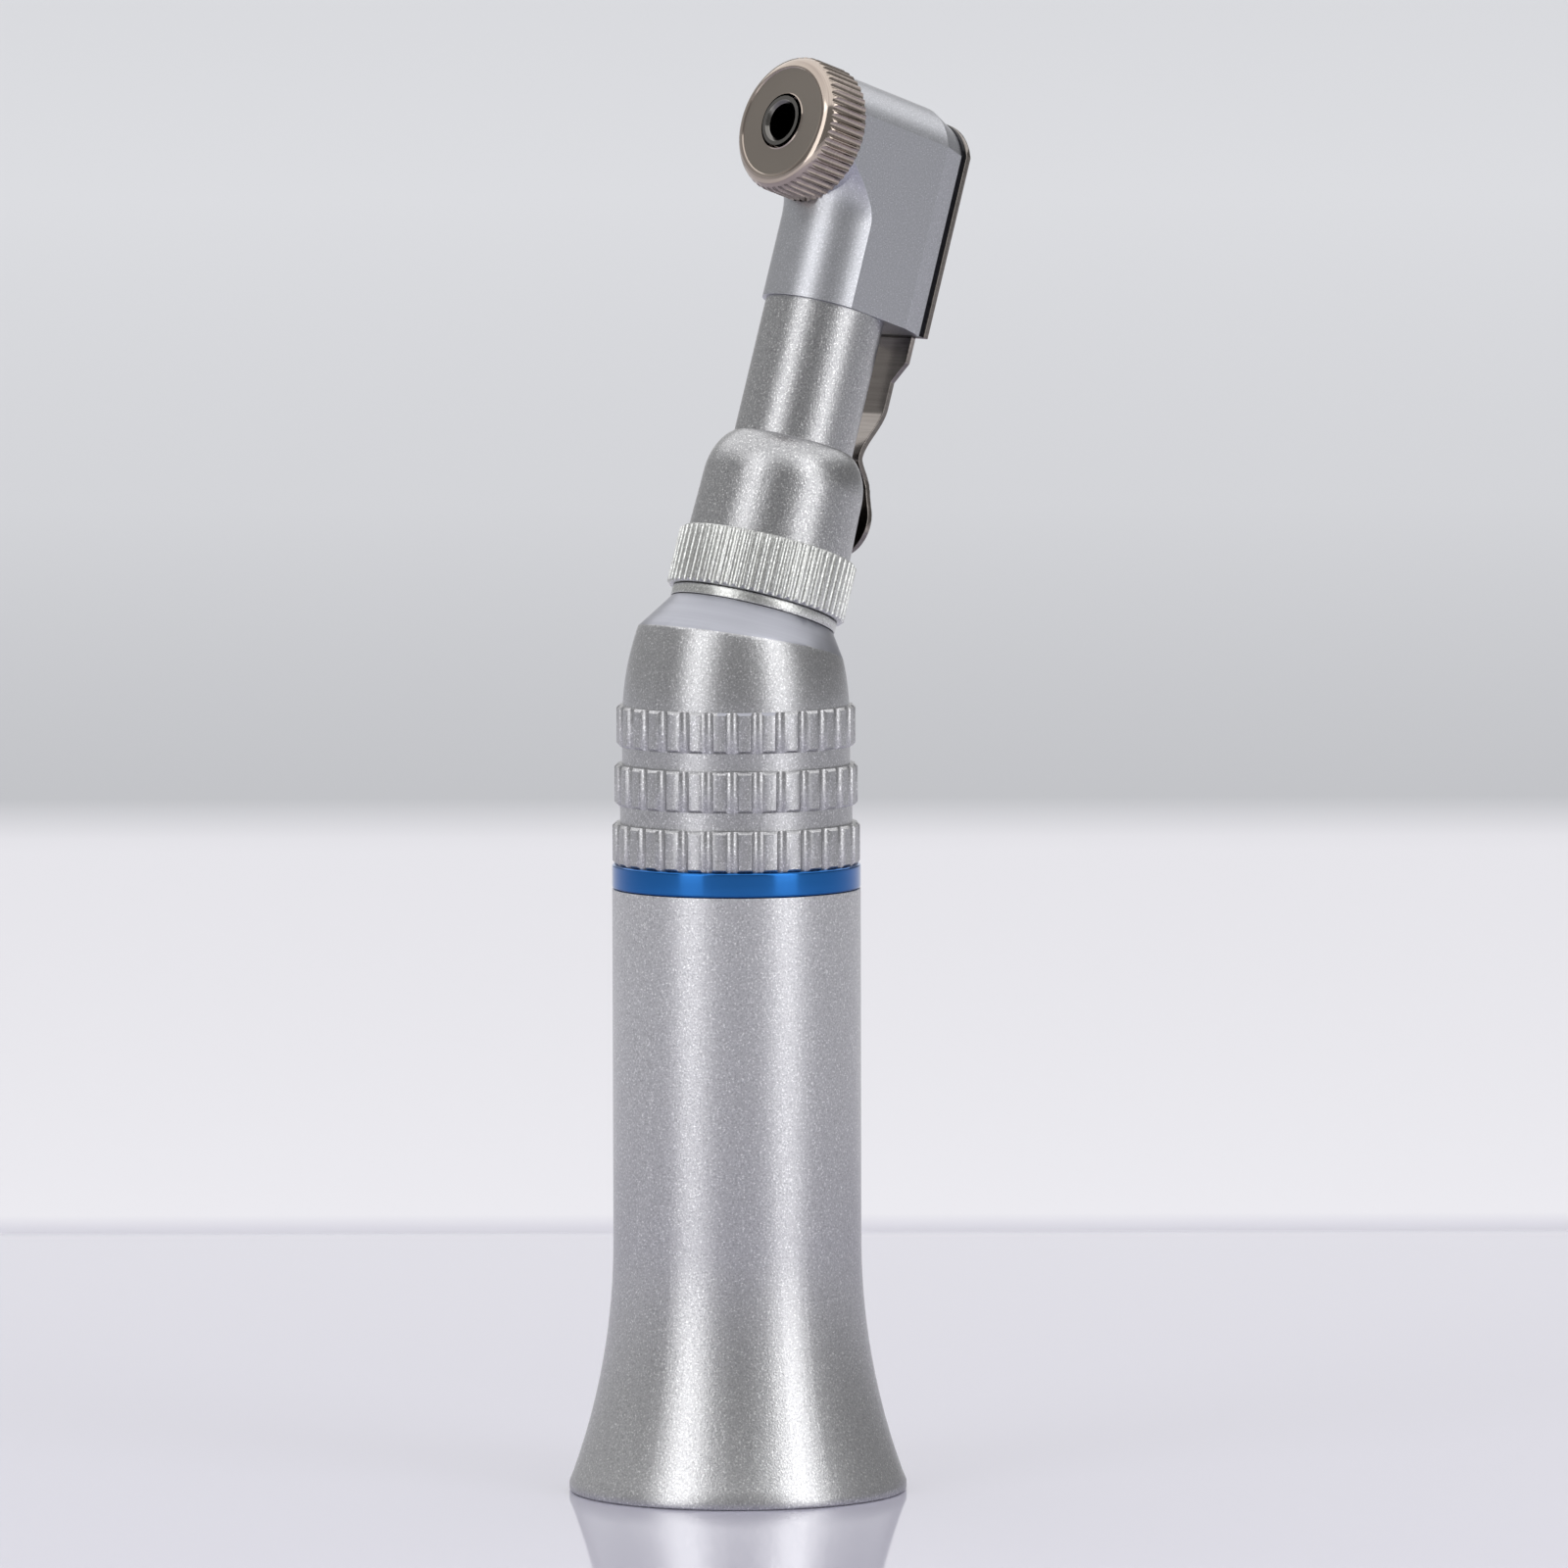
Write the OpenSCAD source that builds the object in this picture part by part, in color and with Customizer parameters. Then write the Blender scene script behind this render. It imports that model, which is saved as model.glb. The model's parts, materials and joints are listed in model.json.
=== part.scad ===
// Latch-type contra angle handpiece: a straight handle, an 18 degree neck and a right-angle bur head.
// The base of the handle stands on z = 0, the neck leans towards +Y and the bur points towards -Y.

/* [Handle] */
// Wall of the straight sheath
sheath_wall = 1; // [0.8:0.05:3]
// Length of the sheath, base to marking ring
sheath_l = 38.5; // [32:0.1:50]
// How far the lip at the base stands out from the straight sheath
lip_out = 2.85; // [1.5:0.05:5]
// Height at which the flare runs into the straight sheath
flare_h = 16; // [12:0.5:18]
// Width of the marking ring
ring_w = 1.6; // [1:0.1:3]

/* [Grip] */
// Width of one knurled band
band_w = 2.6; // [2:0.1:4]
// Width of the groove between two bands
groove_w = 1.15; // [0.8:0.05:2]
// Radius lost from one band to the next
band_step = 0.14; // [0:0.02:0.3]
// Depth of a groove below the band behind it
groove_depth = 0.48; // [0.2:0.02:0.7]
// Flutes round each band
flutes = 30; // [20:1:36]
// Chamfer along both edges of each band
band_edge = 0.18; // [0.05:0.01:0.25]
// Radius of the dome's side arc
dome_arc_r = 18; // [12:1:40]

/* [Motor socket] */
// Diameter of the bore that takes the motor nose
socket_d = 12; // [10:0.1:14.4]
// Depth of the bore
socket_l = 22.5; // [16:0.5:28]
// Wall of the coupling sleeve round the bore
sleeve_wall = 0.88; // [0.5:0.02:1.2]
// Chamfer at the mouth of the bore
mouth_chamfer = 0.4; // [0.2:0.05:0.45]

/* [Drive dog] */
// Diameter of the drive dog
dog_d = 6; // [5:0.1:6.4]
// Length of the drive dog
dog_l = 5; // [4.6:0.1:6.5]
// Travel of the drive dog against its spring
dog_travel = 1.2; // [0.6:0.1:1.5]
// Working length of the dog spring
spring_l = 4.4; // [3.5:0.1:6]
// Wire diameter of the dog spring
spring_wire = 0.35; // [0.25:0.05:0.45]
// Turns of the dog spring
spring_turns = 5; // [3:1:6]

/* [Shafts] */
// Diameter of the rear shaft
rear_shaft_d = 3; // [2.6:0.1:3.4]
// Outer diameter of the rear shaft's bearings
rear_bearing_d = 7; // [6.4:0.1:8]
// Width of the rear shaft's bearings
rear_bearing_w = 3; // [2:0.1:3.5]
// Diameter of the neck shaft
neck_shaft_d = 2.5; // [2:0.1:2.8]
// Outer diameter of the neck bearing
neck_bearing_d = 6; // [5.4:0.1:6.4]
// Width of the neck bearing
neck_bearing_w = 2; // [1.5:0.1:2.5]
// Length of the neck bush
bush_l = 4; // [2.5:0.1:4.4]

/* [Gears] */
// Teeth on each bevel gear, in fours
teeth = 12; // [8:4:16]
// Outer pitch radius of the two gears at the bend
bend_gear_r = 3.25; // [2.9:0.05:3.5]
// Outer pitch radius of the pinion and of the rotor gear
head_gear_r = 2.7; // [2.5:0.05:2.8]

/* [Neck] */
// Angle between the handle and the neck
bend_angle = 18; // [14:1:22]
// Length of the neck from the bend to the bur axis
neck_l = 35.1; // [33:0.1:42.2]
// Outer diameter of the neck tube
neck_d = 7.7; // [7.5:0.1:8.4]
// Outer diameter of the bell at its lower edge
bell_d = 10.5; // [9.8:0.1:13]
// How far the lock nut stands out from the bell
nut_rim = 0.52; // [0.45:0.01:1]
// Teeth of the lock nut's knurl
nut_teeth = 60; // [40:1:72]

/* [Head] */
// Diameter of the head barrel
head_d = 8.4; // [8.1:0.1:11]
// Depth of each of the two flats of the head
flat_cut = 0.3; // [0.1:0.05:0.4]
// Distance from the neck axis to the back of the head
head_back = 5.3; // [5.2:0.05:6]
// Distance from the neck axis to the front of the head
head_front = 3.95; // [3.85:0.05:4.3]
// How far the bearing cap stands out from the head barrel
cap_out = 0.24; // [0.1:0.02:0.6]
// Height of the bearing cap in front of the head
cap_h = 3.3; // [3.2:0.05:3.8]
// Teeth of the cap's knurl
cap_teeth = 50; // [36:1:60]
// Bore of the chuck for a bur shank of 2.35
chuck_bore = 2.36; // [2.3:0.01:2.4]
// Outer diameter of the chuck tube
chuck_d = 3.26; // [3.1:0.02:3.3]

/* [Latch] */
// Thickness of the spring steel lever
lever_t = 0.38; // [0.25:0.01:0.5]
// Thickness of the latch blade
blade_t = 0.37; // [0.25:0.01:0.5]
// Half width of the lever where it leaves the plate
strip_w = 2.2; // [1.6:0.05:2.8]
// Half width of the lever's tongue behind the neck
tongue_w = 1.2; // [0.8:0.05:1.5]
// Radius of the lever's round thumb tab
tab_r = 2.16; // [1.6:0.02:2.6]
// Distance from the bur axis to the latch pivot
pivot_drop = 8.1; // [7.4:0.1:8.6]

/* [Hidden] */
$fn = 64;

// Clearances and small repeated sizes
eps = 0.01;
fit = 0.02;          // radial clearance of pieces that stay put
run = 0.05;          // radial clearance of pieces that turn or slide
edge = 0.12;         // chamfer that breaks a sharp edge
over = 1;            // how far a cutter reaches past what it cuts

// Handle: radii and heights
socket_r = socket_d / 2;
sleeve_r = socket_r + sleeve_wall;
shell_bore_r = sleeve_r + fit;
sheath_r = shell_bore_r + sheath_wall;
lip_r = sheath_r + lip_out;
lip_h = 1.2;
lip_step = 0.25;
lip_relief = 0.15;
lip_relief_h = 0.5;
flare_rise = flare_h - lip_h;
flare_out = lip_r - lip_step - sheath_r;
flare_arc_r = (flare_rise * flare_rise + flare_out * flare_out) / (2 * flare_out);
ring_z = sheath_l;
grip_z = ring_z + ring_w;
dome_z = grip_z + 3 * band_w + 2 * groove_w;
bend_z = dome_z + 1.3;
band_r = sheath_r - 0.04;
dome_r = band_r - 2 * band_step - 0.38;
dome_swell = 0.03;
dome_cone_l = 24;
dome_drop = 1;            // from the last band's edge down to the middle of the dome's arc
flute_r = 0.47;
flute_depth = 0.26;
flute_turn = 5;
sleeve_l = bend_z - 4;

// Drive train of the handle
floor_t = 0.8;
dog_gap = 0.2;
dog_bore_gap = 0.4;
dog_z = socket_l + floor_t + dog_gap;
dog_r = dog_d / 2;
dog_fork_w = 1.7;
dog_fork_h = 1.6;
dog_bore_r = rear_shaft_d / 2 + run;
spring_z = dog_z + dog_l;
rear_bearing_z = spring_z + spring_l;
front_bearing_z = bend_z - 5 - rear_bearing_w;
rear_bearing_r = rear_bearing_d / 2;
bearing_seat_r = rear_bearing_r + fit;
rear_shaft_r = rear_shaft_d / 2;
rear_shaft_z = dog_z + 2;
rear_shaft_end = bend_z - 1.3;
pin_r = 0.4;
pin_inset = 0.3;
pin_z = dog_z + dog_l - 1.3;
clip_z = bend_z - 5;
clip_t = 0.4;
clip_depth = 0.35;
clip_reach = 0.4;
clip_gap = 1.6;
spacer_wall = 0.5;
o_ring_r = 0.5;
o_ring_z = sheath_l - 3;
cavity_r = bend_gear_r + 1.05;
cavity_over = 0.5;
neck_cavity_r = cavity_r - 0.1;

// Bevel gears: angles measured at the cone's apex
tip_angle = 6;
root_angle = 9;
bend_cone = (180 - bend_angle) / 2;
head_cone = 45;
bend_face_share = 0.52;   // inner end of the teeth, as a share of their outer distance
head_face_share = 0.75;
tooth_sink = 4;           // angle by which a tooth reaches into its gear's body
tooth_root_share = 0.26;  // half width of a tooth at its root and at its tip, in pitches
tooth_tip_share = 0.14;
gear_back = 2;
gear_hub = 2.9;
gear_hub_r = 2;
gear_hub_wall = 0.3;
pitch_angle = 360 / teeth;

// Neck: distances along the neck axis from the bend
dome_top = 4.5;
dome_slope = 34;
bell_r = bell_d / 2;
thread_r = bell_r - 0.3;
collar_t = 0.65;
collar_r = thread_r + 0.4;
dome_top_r = collar_r - 0.05;
nut_s = dome_top + run + collar_t + run;
nut_l = 3.8;
nut_r = bell_r + nut_rim;
nut_top = nut_s + nut_l;
nut_lip = 0.3;
nut_chamfer = 0.2;
nut_groove = 0.17;
nut_groove_r = 0.24;
thread_top = nut_top - 0.55;
flange_t = 0.2;
flange_r = bell_r + 0.13;
spigot_r = 4.08;
spigot_s = 2.3;
neck_r = neck_d / 2;
neck_bore_r = 2.65;
bell_taper = 0.1;
bell_lip = 0.05;
bell_round_l = 3.25;      // half axes of the ellipse that rounds the bell's shoulder
bell_round_w = 2.2;
bell_round_angle = acos(1 - (bell_r - bell_taper - bell_lip - neck_r) / bell_round_w);
bell_round_steps = 20;
bell_shoulder = nut_top + 3.75;
bell_top = bell_shoulder + bell_round_l * sin(bell_round_angle);
neck_bearing_r = neck_bearing_d / 2;
neck_bearing_s = 3.2;
neck_shaft_r = neck_shaft_d / 2;
neck_shaft_s = 0.8;
neck_shaft_end = neck_l - 2.6;
seam_s = neck_l - 10.5;
joint_r = neck_r - 0.55;
joint_l = 3;
bush_r = 2.6;
bush_s = seam_s + 0.2;
washer_s = bush_s + bush_l + run;
washer_t = 0.4;
pinion_hub_r = 2.2;
head_bore_step = washer_s + washer_t;
pinion_bore_r = head_gear_r + 0.45;

// Head: distances along the bur axis, from the neck axis towards the back
head_r = head_d / 2;
flat_w = head_d - 2 * flat_cut;
head_neck_r = neck_r + 0.25;
head_bore_r = 3.3;
bevel_m = 3.55;
bevel_in = 0.55;
flare_s = neck_l - 5.1;
flare_bend_r = 5;
flare_stop = 1.3;         // from the bur axis down to the top of the flared neck
rotor_bearing_r = 2.9;
rotor_bearing_w = 1.3;
back_seat = 3.4;
back_wall = 0.4;
front_bearing_m = -head_front - 0.5 - rotor_bearing_w;
back_bearing_m = back_seat + run;
cap_face = -head_front - cap_h;
cap_r = head_r + cap_out;
cap_edge_r = 1;
cap_groove_r = 0.26;
cap_skirt_r = head_bore_r - run;
cap_skirt = 1.25;
cap_hole_r = 1.81;
cap_groove = 0.2;
chuck_r = chuck_d / 2;
chuck_front = cap_face - 0.1;
chuck_back = head_back - back_wall - 0.1;
chuck_bore_r = chuck_bore / 2;
chuck_countersink = 0.2;
drive_flat = 0.62;
drive_relief = 0.18;
drive_l = 1.2;
chuck_collar = 0.34;
chuck_collar_t = 0.5;
back_hole_r = 1.5;

// Latch: blade and lever behind the head
blade_m = head_back + 0.03;
lever_m = blade_m + blade_t + fit;
plate_r = head_r - 0.5;
plate_w = flat_w / 2 - bevel_in;
pivot_r = 0.8;
screw_head_r = 1.5;
screw_head_t = 0.6;
screw_slot = 0.4;
screw_slot_depth = 0.35;
notch_r = 0.8;
dip_gap = 0.72;           // from the neck tube to the lever's inner face at its dip
tab_gap = 0.47;           // from the bell to the thumb tab's inner face
dip_s = bell_top + 0.57;
dip_rise_up = 3.6;
dip_rise_down = 1.9;
tab_s = nut_top + 3.15;
tab_blend = 2.9;
shoulder_s = seam_s - 1.7;
shoulder_l = 1.3;
lever_steps = 56;
blend_steps = 6;

// ---- frames ----
// Children in the neck's frame: z along the neck from the bend, y towards the back of the head
module on_neck(s = 0) {
    translate([0, 0, bend_z]) rotate([-bend_angle, 0, 0]) translate([0, 0, s]) children();
}

// Children in the bur's frame: z from the neck axis to the back of the head, y down the neck
module on_bur(m = 0) {
    on_neck(neck_l) rotate([-90, 0, 0]) translate([0, 0, m]) children();
}

// ---- shared shapes ----
module tube(r_out, r_in, h) {
    difference() {
        cylinder(r = r_out, h = h);
        translate([0, 0, -eps]) cylinder(r = r_in, h = h + 2 * eps);
    }
}

// A disc outline with evenly spaced round grooves
module fluted_outline(r, count, groove_r, depth) {
    difference() {
        circle(r = r);
        for (i = [0:count - 1])
            rotate(i * 360 / count) translate([r + groove_r - depth, 0]) circle(r = groove_r, $fn = 16);
    }
}

function ball_r(r_in, r_out) = 0.29 * (r_out - r_in);
function ball_pitch(r_in, r_out) = (r_in + r_out) / 2;
function race_land(r_in, r_out) = 0.17 * (r_out - r_in);

module race(r_in, r_out, w, pitch, ball) {
    rotate_extrude() difference() {
        translate([r_in, 0]) square([r_out - r_in, w]);
        translate([pitch, w / 2]) circle(r = ball + run);
    }
}

module outer_race(r_in, r_out, w) {
    pitch = ball_pitch(r_in, r_out);
    race(pitch + race_land(r_in, r_out), r_out, w, pitch, ball_r(r_in, r_out));
}

module inner_race(r_in, r_out, w) {
    pitch = ball_pitch(r_in, r_out);
    race(r_in + fit / 2, pitch - race_land(r_in, r_out), w, pitch, ball_r(r_in, r_out));
}

module balls(r_in, r_out, w, count) {
    for (i = [0:count - 1])
        rotate(i * 360 / count) translate([ball_pitch(r_in, r_out), 0, w / 2])
            sphere(r = ball_r(r_in, r_out));
}

// A direction at an angle from +Z, turned round Z
function ray(cone, turn) = [sin(cone) * cos(turn), sin(cone) * sin(turn), cos(cone)];

// One tapered tooth between two distances from the cone's apex
module bevel_tooth(near, far, root, tip, root_half, tip_half) {
    ring = [ray(root, -root_half), ray(root, root_half), ray(tip, tip_half), ray(tip, -tip_half)];
    polyhedron(
        points = concat([for (p = ring) near * p], [for (p = ring) far * p]),
        faces = [[3, 2, 1, 0], [4, 5, 6, 7], [1, 5, 4, 0], [2, 6, 5, 1], [3, 7, 6, 2], [0, 4, 7, 3]]
    );
}

// A bevel gear whose apex is the origin and whose body lies towards +Z
module bevel_gear(cone, pitch_r, phase, back, hub_r, hub_end, bore_r, near_share) {
    far = pitch_r / sin(cone);
    near = far * near_share;
    root = cone - root_angle;
    tip = cone + tip_angle;
    difference() {
        union() {
            rotate_extrude() polygon([
                [0, near * cos(root)], [near * sin(root), near * cos(root)],
                [far * sin(root), far * cos(root)], [far * sin(root), back],
                [hub_r, back], [hub_r, hub_end], [0, hub_end]
            ]);
            for (i = [0:teeth - 1])
                rotate(phase + i * pitch_angle)
                    bevel_tooth(
                        near, far, root - tooth_sink, tip,
                        tooth_root_share * pitch_angle, tooth_tip_share * pitch_angle
                    );
        }
        translate([0, 0, -far]) cylinder(r = bore_r, h = 3 * far + hub_end);
    }
}

// ---- handle ----
module rear_sheath() {
    color("silver") rotate_extrude() difference() {
        union() {
            translate([shell_bore_r, 0]) square([sheath_r - shell_bore_r, sheath_l]);
            polygon([
                [shell_bore_r, 0], [lip_r - edge, 0], [lip_r, edge], [lip_r, lip_h / 2],
                [lip_r - lip_step, lip_h], [shell_bore_r, lip_h]
            ]);
            difference() {
                translate([shell_bore_r, lip_h / 2])
                    square([lip_r - lip_step - shell_bore_r, flare_h - lip_h / 2]);
                translate([sheath_r + flare_arc_r, flare_h]) circle(r = flare_arc_r, $fn = 180);
            }
        }
        translate([shell_bore_r, -eps]) square([lip_relief, lip_relief_h]);
    }
}

module coupling_sleeve() {
    color("gainsboro") difference() {
        rotate_extrude() polygon([
            [socket_r + mouth_chamfer, 0], [sleeve_r, 0], [sleeve_r, sleeve_l],
            [bearing_seat_r, sleeve_l], [bearing_seat_r, socket_l + floor_t],
            [dog_r + dog_bore_gap, socket_l + floor_t], [dog_r + dog_bore_gap, socket_l],
            [socket_r, socket_l], [socket_r, mouth_chamfer]
        ]);
        translate([0, 0, clip_z]) cylinder(r = bearing_seat_r + clip_depth, h = clip_t + fit);
        translate([0, 0, o_ring_z - o_ring_r])
            tube(sleeve_r + over, sleeve_r - 2 * o_ring_r - fit, 2 * o_ring_r);
    }
}

module marking_ring() {
    color("royalblue") translate([0, 0, ring_z]) rotate_extrude() polygon([
        [shell_bore_r, 0], [sheath_r - edge, 0], [sheath_r, edge],
        [sheath_r, ring_w - edge], [sheath_r - edge, ring_w], [shell_bore_r, ring_w]
    ]);
}

module sheath_o_ring() {
    color("dimgray") translate([0, 0, o_ring_z]) rotate_extrude()
        translate([sleeve_r - o_ring_r, 0]) circle(r = o_ring_r - fit / 2, $fn = 24);
}

// A fluted band with both of its edges chamfered
module knurled_band(i) {
    r = band_r - i * band_step;
    translate([0, 0, grip_z + i * (band_w + groove_w)]) rotate(flute_turn) intersection() {
        linear_extrude(band_w) fluted_outline(r, flutes, flute_r, flute_depth);
        rotate_extrude() polygon([
            [0, 0], [r - band_edge, 0], [r + eps, band_edge + eps],
            [r + eps, band_w - band_edge - eps], [r - band_edge, band_w], [0, band_w]
        ]);
    }
}

module dome_core() {
    intersection() {
        rotate_extrude() union() {
            translate([0, grip_z]) square([dome_r, dome_z - grip_z + eps]);
            intersection() {
                translate([0, dome_z]) square([dome_r, 2 * dome_top]);
                translate([dome_r - dome_arc_r, dome_z - dome_drop])
                    circle(r = dome_arc_r + dome_swell, $fn = 180);
            }
        }
        on_neck(dome_top - dome_cone_l)
            cylinder(r1 = dome_top_r + dome_cone_l * tan(dome_slope), r2 = dome_top_r, h = dome_cone_l);
    }
}

module grip_sleeve() {
    color("silver") difference() {
        union() {
            dome_core();
            for (i = [0:2]) knurled_band(i);
            for (i = [0:1])
                translate([0, 0, grip_z + i * (band_w + groove_w) + band_w])
                    cylinder(r = band_r - i * band_step - groove_depth, h = groove_w);
            on_neck(dome_top - over) cylinder(r = thread_r, h = thread_top - dome_top + over);
        }
        translate([0, 0, grip_z - eps]) cylinder(r = shell_bore_r, h = sleeve_l - grip_z + 2 * eps);
        translate([0, 0, sleeve_l - over])
            cylinder(r = cavity_r, h = bend_z - sleeve_l + over + cavity_over);
        on_neck(-over) cylinder(r = neck_cavity_r, h = spigot_s - run + over);
        on_neck() cylinder(r = spigot_r + fit, h = thread_top + over);
    }
}

// ---- drive train of the handle ----
module at_rear_bearings() {
    for (z = [rear_bearing_z, front_bearing_z]) translate([0, 0, z]) children();
}

module rear_bearing_outer_races() {
    color("lightsteelblue") at_rear_bearings() outer_race(rear_shaft_r, rear_bearing_r, rear_bearing_w);
}

module rear_bearing_inner_races() {
    color("lightsteelblue") at_rear_bearings() inner_race(rear_shaft_r, rear_bearing_r, rear_bearing_w);
}

module rear_bearing_balls() {
    color("white") at_rear_bearings() balls(rear_shaft_r, rear_bearing_r, rear_bearing_w, 7);
}

module bearing_spacer() {
    color("tan") translate([0, 0, rear_bearing_z + rear_bearing_w])
        tube(
            rear_bearing_r, rear_bearing_r - spacer_wall,
            front_bearing_z - rear_bearing_z - rear_bearing_w
        );
}

module retaining_ring() {
    color("dimgray") translate([0, 0, clip_z]) difference() {
        tube(bearing_seat_r + clip_depth - fit, bearing_seat_r - clip_reach, clip_t);
        translate([-clip_gap / 2, 0, -eps]) cube([clip_gap, 2 * bearing_seat_r, clip_t + 2 * eps]);
    }
}

module drive_dog() {
    slot_w = 2 * (pin_r + run);
    color("goldenrod") translate([0, 0, dog_z]) difference() {
        cylinder(r = dog_r, h = dog_l);
        translate([0, 0, -eps]) cylinder(r = dog_bore_r, h = dog_l + 2 * eps);
        translate([-dog_d, -dog_fork_w / 2, -eps]) cube([2 * dog_d, dog_fork_w, dog_fork_h]);
        translate([-dog_d, -slot_w / 2, pin_z - dog_z - pin_r - run - dog_travel])
            cube([2 * dog_d, slot_w, 2 * (pin_r + run) + dog_travel]);
    }
}

// Wire of round section wound on a helix
module dog_spring() {
    coil_r = rear_shaft_r + run + 0.1 + spring_wire / 2;
    wire_r = spring_wire / 2;
    sides = 6;
    steps = 16 * spring_turns;
    rise = spring_l - spring_wire - 2 * run;
    color("gray") translate([0, 0, spring_z + run + wire_r]) polyhedron(
        points = [
            for (k = [0:steps], j = [0:sides - 1])
                let (turn = 360 * spring_turns * k / steps, a = 360 * j / sides)
                    [
                        (coil_r + wire_r * cos(a)) * cos(turn),
                        (coil_r + wire_r * cos(a)) * sin(turn),
                        rise * k / steps + wire_r * sin(a)
                    ]
        ],
        faces = concat(
            [[for (j = [0:sides - 1]) j]],
            [[for (j = [0:sides - 1]) steps * sides + sides - 1 - j]],
            [
                for (k = [0:steps - 1], j = [0:sides - 1])
                    let (n = (j + 1) % sides)
                        [k * sides + j, (k + 1) * sides + j, (k + 1) * sides + n, k * sides + n]
            ]
        )
    );
}

module dog_cross_pin() {
    color("gray") translate([-dog_r + pin_inset, 0, pin_z]) rotate([0, 90, 0])
        cylinder(r = pin_r, h = dog_d - 2 * pin_inset);
}

module rear_shaft() {
    color("lightgray") difference() {
        translate([0, 0, rear_shaft_z]) cylinder(r = rear_shaft_r, h = rear_shaft_end - rear_shaft_z);
        translate([-dog_r, 0, pin_z]) rotate([0, 90, 0]) cylinder(r = pin_r + fit / 2, h = dog_d);
    }
}

module rear_bevel_gear() {
    color("darkgoldenrod") translate([0, 0, bend_z]) mirror([0, 0, 1])
        bevel_gear(
            bend_cone, bend_gear_r, 0, gear_back, gear_hub_r, gear_hub,
            rear_shaft_r + fit / 2, bend_face_share
        );
}

// ---- neck ----
module neck_tube() {
    side_r = bell_r - bell_taper;
    color("silver") on_neck() rotate_extrude() polygon(concat(
        [
            [neck_bearing_r + fit, spigot_s], [spigot_r, spigot_s], [spigot_r, thread_top + fit],
            [flange_r, thread_top + fit], [flange_r, thread_top + fit + flange_t],
            [bell_r, thread_top + fit + flange_t], [bell_r, nut_top]
        ],
        [
            for (k = [0:bell_round_steps])
                let (a = bell_round_angle * k / bell_round_steps)
                    [side_r - bell_round_w * (1 - cos(a)), bell_shoulder + bell_round_l * sin(a)]
        ],
        [
            [neck_r, bell_top], [neck_r, seam_s], [joint_r + fit, seam_s],
            [joint_r + fit, seam_s - joint_l], [neck_bore_r, seam_s - joint_l],
            [neck_bore_r, neck_bearing_s + neck_bearing_w],
            [neck_bearing_r + fit, neck_bearing_s + neck_bearing_w]
        ]
    ));
}

module collar_ring() {
    color("gainsboro") on_neck(dome_top + run) tube(collar_r, thread_r + fit, collar_t);
}

module lock_nut() {
    color("silver") on_neck(nut_s) difference() {
        intersection() {
            linear_extrude(nut_l) fluted_outline(nut_r, nut_teeth, nut_groove_r, nut_groove);
            rotate_extrude() polygon([
                [0, 0], [nut_r - nut_chamfer, 0], [nut_r + eps, nut_chamfer],
                [nut_r + eps, nut_l - nut_chamfer], [nut_r - nut_chamfer, nut_l], [0, nut_l]
            ]);
        }
        translate([0, 0, -over]) cylinder(r = thread_r + run, h = thread_top - nut_s + over);
        translate([0, 0, thread_top - nut_s - run])
            cylinder(r = flange_r + run, h = nut_top - nut_lip - thread_top + run);
        translate([0, 0, thread_top - nut_s]) cylinder(r = bell_r + run, h = nut_l);
    }
}

module neck_bearing_outer_race() {
    color("lightsteelblue") on_neck(neck_bearing_s)
        outer_race(neck_shaft_r, neck_bearing_r, neck_bearing_w);
}

module neck_bearing_inner_race() {
    color("lightsteelblue") on_neck(neck_bearing_s)
        inner_race(neck_shaft_r, neck_bearing_r, neck_bearing_w);
}

module neck_bearing_balls() {
    color("white") on_neck(neck_bearing_s) balls(neck_shaft_r, neck_bearing_r, neck_bearing_w, 7);
}

module neck_bush() {
    color("peru") on_neck(bush_s) tube(bush_r - fit, neck_shaft_r + run, bush_l);
}

module thrust_washer() {
    color("tan") on_neck(washer_s) tube(bush_r - fit, neck_shaft_r + run, washer_t - run);
}

module neck_shaft() {
    color("lightgray") on_neck(neck_shaft_s) cylinder(r = neck_shaft_r, h = neck_shaft_end - neck_shaft_s);
}

module lower_bevel_gear() {
    color("darkgoldenrod") on_neck()
        bevel_gear(
            bend_cone, bend_gear_r, pitch_angle / 2, gear_back, gear_hub_r, gear_hub,
            neck_shaft_r + fit / 2, bend_face_share
        );
}

module upper_pinion() {
    color("darkgoldenrod") on_neck(neck_l) mirror([0, 0, 1])
        bevel_gear(
            head_cone, head_gear_r, 0, head_gear_r + 1, pinion_hub_r, neck_l - head_bore_step - run,
            neck_shaft_r + fit / 2, head_face_share
        );
}

// ---- head ----
module head_neck_shape() {
    on_neck() rotate_extrude() difference() {
        translate([0, seam_s]) square([head_neck_r + flare_bend_r, neck_l - flare_stop - seam_s]);
        translate([head_neck_r, seam_s - over]) square([flare_bend_r + over, flare_s - seam_s + over]);
        translate([head_neck_r + flare_bend_r, flare_s]) circle(r = flare_bend_r, $fn = 96);
    }
}

module head_flats(front) {
    block_l = neck_l - seam_s;
    on_bur() translate([0, block_l, 0]) rotate([90, 0, 0]) linear_extrude(block_l + head_r + over)
        polygon([
            [-flat_w / 2, -front], [flat_w / 2, -front], [flat_w / 2, bevel_m],
            [plate_w, head_back], [-plate_w, head_back], [-flat_w / 2, bevel_m]
        ]);
}

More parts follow.
